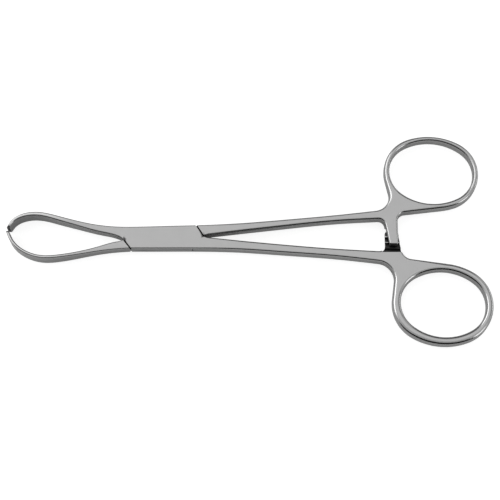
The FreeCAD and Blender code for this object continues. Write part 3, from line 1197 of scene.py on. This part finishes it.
@dataclass
class ClampHalf:
    """One half of the clamp: jaw, its share of the box lock, shank, arm and ring.

    The edge rounding is that of the box. Over the zones, it becomes that of the shank along
    X and away from the arm's end, that of the jaw along X, and that of the ring towards the
    opening, where it takes a share of the band's width on either side.
    """

    name: str
    body: str
    faces: ClampFaces
    box: BoxForm
    pin: PinForm
    handle: Handle
    ratchet: RatchetForm
    jaw: Bar
    arm_step: float
    box_round: EdgeRound = EdgeRound(0.38, 0.42)
    shank_round: EdgeRound = EdgeRound(0.62, 0.9)
    jaw_round: EdgeRound = EdgeRound(0.4, 0.6)
    ring_depth: float = 1.0
    shank_zone: tuple[float, float] = (8.0, 24.0)
    arm_end_zone: tuple[float, float] = (1.5, 4.0)
    jaw_zone: tuple[float, float] = (12.0, 20.0)
    ring_zone: tuple[float, float] = (2.4, 5.0)
    outer_share: float = 0.5
    inner_share: float = 0.46
    tip_corner: float = 0.9
    tip_share: float = 0.6
    # Skin of the tip grooves; the dark ratchet skin there is painted shade between the tips
    tip_skin: Skin = Skin.RATCHET
    groove_depth: float = 0.15
    groove_pitch: float = 0.45
    spacing: float = 0.3
    fill_pitch: float = 1.1
    round_steps: int = 8
    inner_side: ClassVar[int]

    def box_edges(self) -> BoxEdges:
        """Return how the outline passes the box, which each half knows for itself."""
        raise NotImplementedError

    def cutters(self) -> list[Shape]:
        """Return what is cut out of the full body, which each half knows for itself."""
        raise NotImplementedError

    def outline(self) -> Outline:
        """Draw the outline in plan, with sharp edges at the seams and across the tip.

        It runs down the outside of the jaw and past the box, over the seam, round the handle,
        over the other seam, up the inside of the jaw and across the tip.

        Returns:
            The outline.
        """
        box = self.box_edges()
        jaw, shank = self.jaw.sides(), self.handle.shank.sides()
        inner, outer = self.inner_side, 1 - self.inner_side
        jaw_outer = SmoothCurve(np.vstack([jaw[outer][::-1], box.jaw_edge]))
        jaw_inner = SmoothCurve(np.vstack([box.jaw_crotch, jaw[inner]]))
        shank_inner = np.vstack([box.shank_crotch, shank[inner]])
        shank_outer = np.vstack([box.shank_edge, shank[outer]])
        line = Outline()
        line.add(jaw_outer.sampled(self.spacing), first=self.tip_share)
        line.add_sharp(box.jaw_edge[-1])
        line.add(self.handle.trace(shank_inner, shank_outer, self.spacing), first=0.0)
        line.add_sharp(box.shank_edge[0])
        line.add(jaw_inner.sampled(self.spacing), first=0.0, last=self.tip_share)
        line.add_sharp(jaw[inner][-1])
        return line

    def round_sizes(self, points: np.ndarray) -> np.ndarray:
        """Work out the size of the edge rounding.

        Args:
            points: Rows of X and Y on the outline or the opening.

        Returns:
            Rows of width and depth.
        """
        from_end = np.linalg.norm(points - self.handle.arm_end(), axis=1)
        from_opening = self.handle.opening.beyond(points)
        from_outside = -self.handle.ring.beyond(points)
        shank = smooth_step(*self.shank_zone, points[:, 0]) * smooth_step(*self.arm_end_zone, from_end)
        jaw = smooth_step(*self.jaw_zone, -points[:, 0])
        ring = 1 - smooth_step(*self.ring_zone, from_opening)
        widest = self.ring_zone[0]
        band = np.clip(from_opening, 0.0, widest) * self.outer_share
        band = band + np.clip(from_outside, 0.0, widest) * self.inner_share
        ring_sizes = np.column_stack([band, np.full(len(points), self.ring_depth)])
        sizes = mixed(self.box_round.size(), self.shank_round.size(), shank)
        return mixed(mixed(sizes, self.jaw_round.size(), jaw), ring_sizes, ring)

    def blank(self) -> Shape:
        """Make the full body: walls round the outline and the opening, and two faces.

        Returns:
            The closed body, before anything is cut out of it.
        """
        outer, outer_shares = self.outline().closed()
        opening = self.handle.opening.arc(360.0, 0.0, self.spacing)[:-1]
        steps = self.round_steps
        (outer_wall, outer_quads), (inner_wall, inner_quads) = (
            wall_grid(line, shares, self.round_sizes(line), self.faces, steps)
            for line, shares in ((outer, outer_shares), (opening, np.ones((len(opening), 2))))
        )
        fill = infill(outer_wall[: len(outer), :2], inner_wall[: len(opening), :2], self.fill_pitch)
        rise = self.faces.rise(fill[:, 0])
        fills = [np.column_stack([fill, z]) for z in (-rise, self.faces.thickness + rise)]
        corners = np.vstack([outer_wall, inner_wall, *fills])
        caps = []
        for side, row in enumerate((0, 2 * steps + 1)):
            outer_rim = np.arange(len(outer)) + row * len(outer)
            inner_rim = np.arange(len(opening)) + row * len(opening) + len(outer_wall)
            inside = np.arange(len(fill)) + len(outer_wall) + len(inner_wall) + side * len(fill)
            caps.append(self.cap(corners, (outer_rim, inner_rim, inside)))
        quads = np.vstack([outer_quads, inner_quads + len(outer_wall)])
        triangles = np.vstack([caps[0][:, ::-1], caps[1]])
        faces = [tuple(face) for part in (quads, triangles) for face in part.tolist()]
        # The sharp segments at the seams and across the tip take the wall skin, whose near-black colour
        # is painted shade
        sharp = np.tile(outer_shares.max(axis=1) == 0, 2 * steps + 1)
        skins = np.full(len(faces), Skin.EDGE)
        skins[: len(sharp)][sharp] = Skin.WALL
        skins[len(quads) :] = Skin.FACE
        return Shape(corners, faces, skins)

    def cap(
        self, corners: np.ndarray, parts: tuple[np.ndarray, ...], digits: int = 6, tolerance: float = 1e-7
    ) -> np.ndarray:
        """Return the triangles that fill a face between its outer rim and the opening.

        Args:
            corners: All corners of the body.
            parts: Numbers of the corners on the outer rim, on the opening's rim and inside.
            digits: Decimals to which corners at one place agree.
            tolerance: Distance below which the triangulation takes two places as one.

        Returns:
            Rows of three corner numbers, counterclockwise in plan.
        """
        rim = np.concatenate(parts)
        plan = corners[rim, :2]
        places, numbers = np.unique(np.round(plan, digits), axis=0, return_inverse=True)
        numbers = numbers.ravel()
        outer_ring, inner_ring, _ = np.split(numbers, np.cumsum([len(part) for part in parts[:2]]))
        first = np.full(len(places), -1)
        first[numbers[::-1]] = rim[::-1]
        edges = []
        for ring in (outer_ring, inner_ring):
            following = np.roll(ring, -1)
            edges += [(a, b) for a, b in zip(ring.tolist(), following.tolist()) if a != b]
        points = [Vector(place) for place in places]
        triangles = np.array(delaunay_2d_cdt(points, edges, [], 1, tolerance)[2])
        triangles = triangles[~np.isin(triangles, inner_ring).all(axis=1)]
        a, b, c = (places[triangles[:, index]] for index in range(3))
        clockwise = turn_between(b - a, c - a) < 0
        triangles[clockwise] = triangles[clockwise][:, ::-1]
        return first[triangles]

    def tip_cuts(self) -> list[Shape]:
        """Work out the fine cross grooves of the jaw tip, and what rounds its corners.

        Returns:
            The grooves, and then the cutters of the back and the front corner.
        """
        left, right = self.jaw.sides()
        middle = (left[-1] + right[-1]) / 2
        tip_way = np.array(self.jaw.end_way)
        across = left_of(tip_way)
        half, depth = self.groove_pitch / 2, self.groove_depth
        diamond = np.array([tip_way * depth, across * half, -tip_way * depth, -across * half])
        low, high = -self.faces.jaw_width, self.faces.thickness + self.faces.jaw_width
        shapes = [
            upright_prism(middle + across * place * self.groove_pitch + diamond, low, high, self.tip_skin)
            for place in (-0.5, 0.5)
        ]
        radius, reach = self.tip_corner, self.tip_corner + PAST
        angles = np.linspace(math.pi / 2, 0.0, self.round_steps + 1)
        roller = np.column_stack([np.cos(angles), np.sin(angles)]) * radius
        section = np.vstack([[(reach, 0.0), (reach, reach), (0.0, reach)], roller])
        length = np.array([self.box.crotch_x, 0.0, 0.0])
        plan = middle + (section[:, :1] - radius) * tip_way - length[:2] / 2
        rise = (self.faces.jaw_width - self.faces.thickness) / 2
        for face, out in ((-rise, -1), (self.faces.thickness + rise, 1)):
            height = face + out * (section[:, 1] - radius)
            shapes.append(prism(np.column_stack([plan, height]), length, Skin.EDGE))
        return shapes

    def build(self, finishes: tuple[BrushedSteel, ...]) -> bpy.types.Object:
        """Cut the body to its final form, shade it and put it on its CAD body.

        Args:
            finishes: The finishes, in the order of their slots.

        Returns:
            The finished piece.
        """
        piece = linked(self.name + "_steel", self.blank().mesh(self.name, finishes))
        tools = []
        for index, shape in enumerate(self.cutters()):
            name = f"cutter_{index}"
            tools.append(linked(name, shape.mesh(name, finishes)))
            cut = piece.modifiers.new(name, "BOOLEAN")
            cut.operation = "DIFFERENCE"
            cut.solver = "EXACT"
            cut.material_mode = "INDEX"
            cut.object = tools[-1]
        finished(piece)
        for tool in tools:
            bpy.data.objects.remove(tool)
        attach(piece, self.body)
        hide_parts(self.name)
        return piece


def finished(piece: bpy.types.Object, sharp_above: float = 28.0, face_weight: int = 80) -> None:
    """Apply the piece's modifiers and shade it smooth between creases.

    Args:
        piece: The piece, with its modifiers live.
        sharp_above: Turn between two faces, in degrees, from which their edge is a crease.
        face_weight: How much more a large face counts than a small one in the shading.
    """
    graph = bpy.context.evaluated_depsgraph_get()
    mesh = bpy.data.meshes.new_from_object(piece.evaluated_get(graph))
    piece.modifiers.clear()
    piece.data = mesh
    mesh.polygons.foreach_set("use_smooth", np.ones(len(mesh.polygons), bool))
    mesh.set_sharp_from_angle(angle=math.radians(sharp_above))
    weighted = piece.modifiers.new("even_faces", "WEIGHTED_NORMAL")
    weighted.keep_sharp = True
    weighted.weight = face_weight


@dataclass
class FemaleHalf(ClampHalf):
    """The half with the slotted box, the thick lower ring and the back rack."""

    inner_side: ClassVar[int] = 0

    def box_edges(self) -> BoxEdges:
        """Return the box's own edges and crotches, with the jaw on the top edge."""
        crotches = (self.box.place(corner) for corner in (Corner.LEFT_CROTCH, Corner.RIGHT_CROTCH))
        return BoxEdges(self.box.edge(TOP), self.box.edge(BOTTOM), *crotches)

    def cutters(self) -> list[Shape]:
        """Work out the slot, the milled front of the arm, the teeth, the pin hole and the tip.

        Returns:
            The cutters, in the order of their cuts.
        """
        box, ratchet = self.box, self.ratchet
        front = self.faces.thickness + PAST
        face = self.faces.thickness / 2 - ratchet.gap / 2
        across = ratchet.near_x - PAST, ratchet.far_x + 2 * PAST
        arm = rectangle(across, (self.arm_step, self.handle.arm_near[1] + PAST))
        crests = rectangle(across, ratchet.bright_zone(self.arm_step))
        shapes = [
            upright_prism(
                box.slot(), box.plate_wall, self.faces.thickness - box.plate_wall, Skin.WALL, Skin.LOCK
            ),
            upright_prism(arm, face, front, Skin.RATCHET),
            upright_prism(crests, face - SKIM, front, Skin.EDGE),
            self.pin.countersink(),
        ]
        grooves = ratchet.grooves(self.arm_step + ratchet.pitch, face, 1)
        return shapes + grooves + self.tip_cuts()


@dataclass
class MaleHalf(ClampHalf):
    """The half with the tongue through the box, the upper ring and the front rack."""

    inner_side: ClassVar[int] = 1

    def box_edges(self) -> BoxEdges:
        """Work out the edges, of which the box's two seams cut off one end each.

        Returns:
            The edges and the crotches, with the jaw on the bottom edge.
        """
        tongue = self.box.tongue()
        bottom = [*self.box.edge(BOTTOM)[:2], tongue.bottom]
        top = [tongue.top, *self.box.edge(TOP)[1:]]
        return BoxEdges(bottom, top, tongue.left, tongue.right)

    def cutters(self) -> list[Shape]:
        """Work out both pockets beside the tongue, the milled back of the arm, teeth and bore.

        The part of a pocket that the box covers at rest is cut a second time, a skim deeper,
        for its lighter floor. The strip along each seam keeps the near-black wall skin:
        painted shade at the seam.

        Returns:
            The cutters, in the order of their cuts.
        """
        box, ratchet = self.box, self.ratchet
        pocket, covered = (box.between_seams(gap) for gap in (box.seam_gap, -box.seam_gap / 4))
        low = box.plate_wall + box.slide_gap
        high, front = self.faces.thickness - low, self.faces.thickness + PAST
        face = self.faces.thickness / 2 + ratchet.gap / 2
        end = self.handle.arm_near[1]
        across = ratchet.near_x - PAST, ratchet.far_x + PAST
        arm = rectangle(across, (end - PAST, self.arm_step))
        shapes = [
            upright_prism(pocket, -PAST, low, Skin.WALL),
            upright_prism(pocket, high, front, Skin.WALL),
            upright_prism(covered, -PAST, low + SKIM, Skin.WALL, Skin.LOCK),
            upright_prism(covered, high - SKIM, front, Skin.WALL, Skin.LOCK),
            upright_prism(arm, -PAST, face, Skin.RATCHET),
            self.pin.bore(),
        ]
        grooves = ratchet.grooves(end + ratchet.pitch / 2, face, -1)
        return shapes + grooves + self.tip_cuts()


@dataclass(frozen=True)
class ClampPlan:
    """Main sizes of the whole clamp in plan, from which both halves take theirs."""

    jaw_length: float = 42.7
    arm_reach: float = 60.85
    ring_spread: float = 37.5
    ring_middle: float = 0.3
    opening_half_length: float = 11.6
    opening_fullness: float = 0.89
    ring_fullness: float = 0.94
    arm_width: float = 3.6
    flare: tuple[float, float] = (0.066, 0.76)

    def faces(self, box: BoxForm, thickness: float, jaw_width: float) -> ClampFaces:
        """Return the front and back face, which part over the flare's share of the jaw.

        Args:
            box: The box, at whose crotch the jaws begin.
            thickness: Distance between the faces at the box.
            jaw_width: Distance between the faces at the tips.

        Returns:
            Both faces.
        """
        jaw_way = self.jaw_length - box.crotch_x
        start, end = (box.crotch_x + share * jaw_way for share in self.flare)
        return ClampFaces(thickness, jaw_width, start, end)

    def opening(self, reach: float, side: int, half_width: float) -> Oval:
        """Return a finger opening, from the way between it and the ratchet arms."""
        centre = (self.arm_reach + reach, self.ring_middle + side * self.ring_spread / 2)
        return Oval(centre, self.opening_half_length, half_width, self.opening_fullness)

    def ring(self, opening: Oval, band: float, shift: tuple[float, float]) -> Oval:
        """Return the outside of the band round an opening.

        Args:
            opening: The finger opening.
            band: Width of the band.
            shift: How far the outside's centre lies off the opening's.

        Returns:
            The oval round the band.
        """
        centre = (opening.centre[0] + shift[0], opening.centre[1] + shift[1])
        half_length, half_width = opening.half_length + band, opening.half_width + band
        return Oval(centre, half_length, half_width, self.ring_fullness)


def female_half(
    plan: ClampPlan, faces: ClampFaces, box: BoxForm, pin: PinForm, ratchet: RatchetForm
) -> FemaleHalf:
    """Put the female half's own sizes to the shared ones.

    Args:
        plan: Main sizes in plan.
        faces: Front and back face.
        box: The box lock.
        pin: The pivot pin.
        ratchet: What both arms share.

    Returns:
        The half.
    """
    opening = plan.opening(15.4, -1, 9.3)
    arm_near = (plan.arm_reach, 2.2)
    arm_far = (plan.arm_reach + plan.arm_width, 2.2)
    arm_step = -4.1
    return FemaleHalf(
        name="female_half",
        body="female",
        faces=faces,
        box=box,
        pin=pin,
        ratchet=ratchet,
        arm_step=arm_step,
        handle=Handle(
            shank=Bar(
                box.crotch_x,
                plan.arm_reach,
                (
                    (0.162, -1.91, 2.85),
                    (0.462, -3.12, 2.45),
                    (0.763, -4.31, 2.46),
                    (0.903, -4.91, 2.85),
                ),
            ),
            opening=opening,
            ring=plan.ring(opening, 2.16, (-0.2, -0.12)),
            arm_near=arm_near,
            near_way=(0.0, 1.0),
            arm_far=arm_far,
            far_way=(-0.9, arm_far[1] - arm_step),
            web_turn=87.5,
            neck_turn=-182.5,
            web_corner=3.0,
            neck_corner=4.8,
        ),
        jaw=Bar(
            -box.crotch_x,
            -plan.jaw_length,
            (
                (0.066, 1.97, 2.6),
                (0.192, 2.6, 2.06),
                (0.381, 3.91, 1.55),
                (0.57, 5.5, 1.34),
                (0.743, 6.68, 1.2),
                (0.869, 6.27, 1.1),
                (0.957, 4.68, 0.95),
                (0.997, 2.7, 0.8),
            ),
            end_way=(0.0, -1.0),
        ),
    )


def male_half(
    plan: ClampPlan, faces: ClampFaces, box: BoxForm, pin: PinForm, ratchet: RatchetForm
) -> MaleHalf:
    """Put the male half's own sizes to the shared ones.

    Args:
        plan: Main sizes in plan.
        faces: Front and back face.
        box: The box lock.
        pin: The pivot pin.
        ratchet: What both arms share.

    Returns:
        The half.
    """
    opening = plan.opening(13.14, 1, 9.1)
    arm_near = (plan.arm_reach + 1.15, -1.8)
    arm_far = (plan.arm_reach + 3.5, -1.8)
    arm_step = 3.5
    return MaleHalf(
        name="male_half",
        body="male",
        faces=faces,
        box=box,
        pin=pin,
        ratchet=ratchet,
        arm_step=arm_step,
        tip_skin=Skin.EDGE,
        handle=Handle(
            shank=Bar(
                box.crotch_x,
                plan.arm_reach,
                (
                    (0.162, 2.91, 2.52),
                    (0.462, 4.38, 2.06),
                    (0.763, 5.83, 2.02),
                    (0.903, 6.42, 2.42),
                ),
            ),
            opening=opening,
            ring=plan.ring(opening, 1.48, (-0.06, -0.11)),
            arm_near=arm_near,
            near_way=(-1.15, arm_step - arm_near[1]),
            arm_far=arm_far,
            far_way=(0.0, 1.0),
            web_turn=-78.5,
            neck_turn=198.0,
            web_corner=2.2,
            neck_corner=4.2,
        ),
        jaw=Bar(
            -box.crotch_x,
            -plan.jaw_length,
            (
                (0.066, -2.2, 2.25),
                (0.192, -3.0, 1.65),
                (0.381, -4.36, 1.12),
                (0.554, -5.32, 1.0),
                (0.711, -5.5, 0.97),
                (0.837, -4.3, 0.94),
                (0.953, -1.33, 0.9),
                (1.004, 1.93, 0.8),
            ),
            end_way=(0.0, 1.0),
        ),
    )


# Studio


class CardTone(Enum):
    """What a studio card sends back: its radiance, as part of white."""

    BLACK = 0.01
    GREY = 0.1
    PALE = 0.35


def flat_board(
    name: str, place: np.ndarray, sides: np.ndarray, material: bpy.types.Material
) -> bpy.types.Object:
    """Make a flat board with four corners.

    Args:
        name: Name of the board.
        place: Its centre.
        sides: Its half sides, as two rows.
        material: What it is made of.

    Returns:
        The board.
    """
    signs = np.array([(-1, -1), (1, -1), (1, 1), (-1, 1)])
    mesh = bpy.data.meshes.new(name)
    mesh.from_pydata((place + signs @ sides).tolist(), [], [(0, 1, 2, 3)])
    mesh.materials.append(material)
    return linked(name, mesh)


@dataclass(frozen=True)
class Card:
    """An upright board beside the object, seen only in its reflections."""

    name: str
    centre: tuple[float, float, float]
    along: tuple[float, float, float]
    up: tuple[float, float, float]
    tone: CardTone

    def build(self) -> bpy.types.Object:
        """Make the board from its centre and its two half sides.

        Returns:
            The board, which neither shades nor blocks anything.
        """
        shader = Shader(bpy.data.materials.new(self.name))
        glow = shader.node("ShaderNodeEmission", sockets={"Color": grey(self.tone.value)})
        sides = np.array([self.along, self.up])
        board = flat_board(self.name, np.array(self.centre), sides, shader.surface(glow))
        board.visible_camera = False
        board.visible_shadow = False
        board.visible_diffuse = False
        board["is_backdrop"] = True
        return board


@dataclass(frozen=True)
class Softbox:
    """A rectangular lamp of even radiance, aimed at a point."""

    name: str
    centre: tuple[float, float, float]
    target: tuple[float, float, float]
    width: float
    height: float
    radiance: float

    def build(self) -> bpy.types.Object:
        """Make the lamp. Its power is pi times its area times its radiance.

        Returns:
            The lamp, unseen by the camera.
        """
        lamp = bpy.data.lights.new(self.name, "AREA")
        lamp.shape = "RECTANGLE"
        lamp.size, lamp.size_y = self.width, self.height
        lamp.energy = math.pi * self.width * self.height * self.radiance
        source = linked(self.name, lamp)
        source.location = self.centre
        aim = Vector(self.target) - Vector(self.centre)
        source.rotation_euler = aim.to_track_quat("-Z", "Y").to_euler()
        source.visible_camera = False
        return source


@dataclass
class Studio:
    """Pale floor, soft lamps and cards round the clamp.

    To the camera, the floor glows almost white and takes a faint shade. To all else it is a
    plain board of the floor's tone.
    """

    floor_height: float
    floor_half: float = 3.0
    floor_tone: float = 0.6
    floor_glow: float = 0.8
    floor_shade: float = 0.4
    world_strength: float = 0.62
    middle: tuple[float, float, float] = (0.023, 0.0, 0.0)

    def floor(self) -> bpy.types.Object:
        """Make the floor.

        Returns:
            The floor.
        """
        shader = Shader(bpy.data.materials.new("pale_floor"))
        plain = shader.node("ShaderNodeBsdfDiffuse", sockets={"Color": grey(self.floor_tone)})
        glow_sockets = {"Color": grey(1.0), "Strength": self.floor_glow}
        glow = shader.node("ShaderNodeEmission", sockets=glow_sockets)
        shade = shader.node("ShaderNodeBsdfDiffuse", sockets={"Color": grey(self.floor_shade)})
        seen = shader.node("ShaderNodeAddShader", sockets={0: glow, 1: shade})
        camera = shader.node("ShaderNodeLightPath", output="Is Camera Ray")
        mix = shader.node("ShaderNodeMixShader", sockets={0: camera, 1: plain, 2: seen})
        sides = np.array([(self.floor_half, 0, 0), (0, self.floor_half, 0)])
        floor = flat_board("floor", np.array([0, 0, self.floor_height]), sides, shader.surface(mix))
        floor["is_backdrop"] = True
        return floor

    def world(self) -> None:
        """Light everything evenly, white to the camera."""
        bpy.context.scene.world = bpy.data.worlds.new("studio")
        shader = Shader(bpy.context.scene.world)
        camera = shader.node("ShaderNodeLightPath", output="Is Camera Ray")
        light, white = (
            shader.node("ShaderNodeBackground", sockets={"Color": grey(1.0), "Strength": strength})
            for strength in (self.world_strength, 1.0)
        )
        shader.surface(shader.node("ShaderNodeMixShader", sockets={0: camera, 1: light, 2: white}))

    def lamps(self) -> tuple[Softbox, ...]:
        """Return the soft lamps, aimed at the middle of the clamp."""
        return (
            Softbox("top_softbox", (0.023, 0.25, 0.9), self.middle, 0.9, 0.7, 0.32),
            Softbox("left_softbox", (-0.45, 0.24, 0.42), self.middle, 0.7, 0.36, 2.0),
            Softbox("right_softbox", (0.55, 0.12, 0.03), self.middle, 0.3, 0.08, 2.2),
            Softbox("near_softbox", (0.45, -0.28, 0.22), self.middle, 0.22, 0.22, 1.5),
        )

    def cards(self) -> tuple[Card, ...]:
        """Place the cards that the steel reflects, told from the floor's height.

        Returns:
            The front, the right and the back card.
        """
        floor = self.floor_height
        front = (-0.15, -0.35, floor + 0.21)
        right = (0.45, 0.14, floor + 0.27)
        back = (0.1, 0.55, floor + 0.2)
        return (
            Card("front_card", front, (0.55, 0, 0), (0, 0, 0.21), CardTone.BLACK),
            Card("right_card", right, (0.02, 0.16, 0), (0, 0, 0.17), CardTone.PALE),
            Card("back_card", back, (0.35, 0, 0), (0, 0, 0.2), CardTone.GREY),
        )

    def build(self) -> None:
        """Make the floor, the world, the lamps and the cards."""
        self.floor()
        self.world()
        for thing in (*self.lamps(), *self.cards()):
            thing.build()


@dataclass(frozen=True)
class PhotoCamera:
    """The camera of the photograph: 74 degrees above the horizon, in front."""

    location: tuple[float, float, float] = (0.02372, -0.12703, 0.43447)
    tilt: float = 16.0
    sensor: float = 36.0
    focal_length: float = 118.03
    clip_start: float = 0.01

    def build(self) -> None:
        """Make the camera and set it as the scene's."""
        camera = bpy.data.cameras.new("photo_camera")
        camera.sensor_width = self.sensor
        camera.lens = self.focal_length
        camera.clip_start = self.clip_start
        holder = linked("photo_camera", camera)
        holder.location = self.location
        holder.rotation_euler = (math.radians(self.tilt), 0.0, 0.0)
        bpy.context.scene.camera = holder


def build_pin(pin: PinForm, finishes: tuple[BrushedSteel, ...]) -> bpy.types.Object:
    """Make the pivot pin and put it on its CAD body.

    Args:
        pin: Form of the pin.
        finishes: The finishes, in the order of their slots.

    Returns:
        The finished piece.
    """
    piece = linked("pivot_pin_steel", pin.pin().mesh("pivot_pin", finishes))
    finished(piece)
    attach(piece, "female")
    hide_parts("pivot_pin")
    return piece


def main() -> None:
    """Load the frame, build the clamp and the studio, and note both boxes."""
    logging.basicConfig(level=logging.INFO, format="%(name)s %(message)s")
    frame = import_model()
    cad_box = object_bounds()
    LOG.info("frame with nodes %s", ", ".join(sorted(frame["nodes"])))
    pin_low, pin_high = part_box("pivot_pin")
    clamp_low, clamp_high = cad_box
    thickness, jaw_width = (pin_high.z - pin_low.z) / MM, (clamp_high.z - clamp_low.z) / MM
    plan, box, pin = ClampPlan(), BoxForm(), PinForm(thickness)
    ratchet = RatchetForm(plan.arm_reach, plan.arm_reach + plan.arm_width)
    forms = (plan, plan.faces(box, thickness, jaw_width), box, pin, ratchet)
    finishes = (SATIN_FACE, POLISHED_EDGE, PAINTED_SHADE_WALL, RATCHET_PAINTED_SHADE, LOCK_FACE)
    for half in (female_half(*forms), male_half(*forms)):
        piece = half.build(finishes)
        LOG.info("%s with %d faces", piece.name, len(piece.data.polygons))
    LOG.info("%s", build_pin(pin, finishes).name)
    Studio(floor_height=clamp_low.z).build()
    PhotoCamera().build()
    bpy.context.scene.view_settings.view_transform = "Standard"


if __name__ == "__main__":
    main()
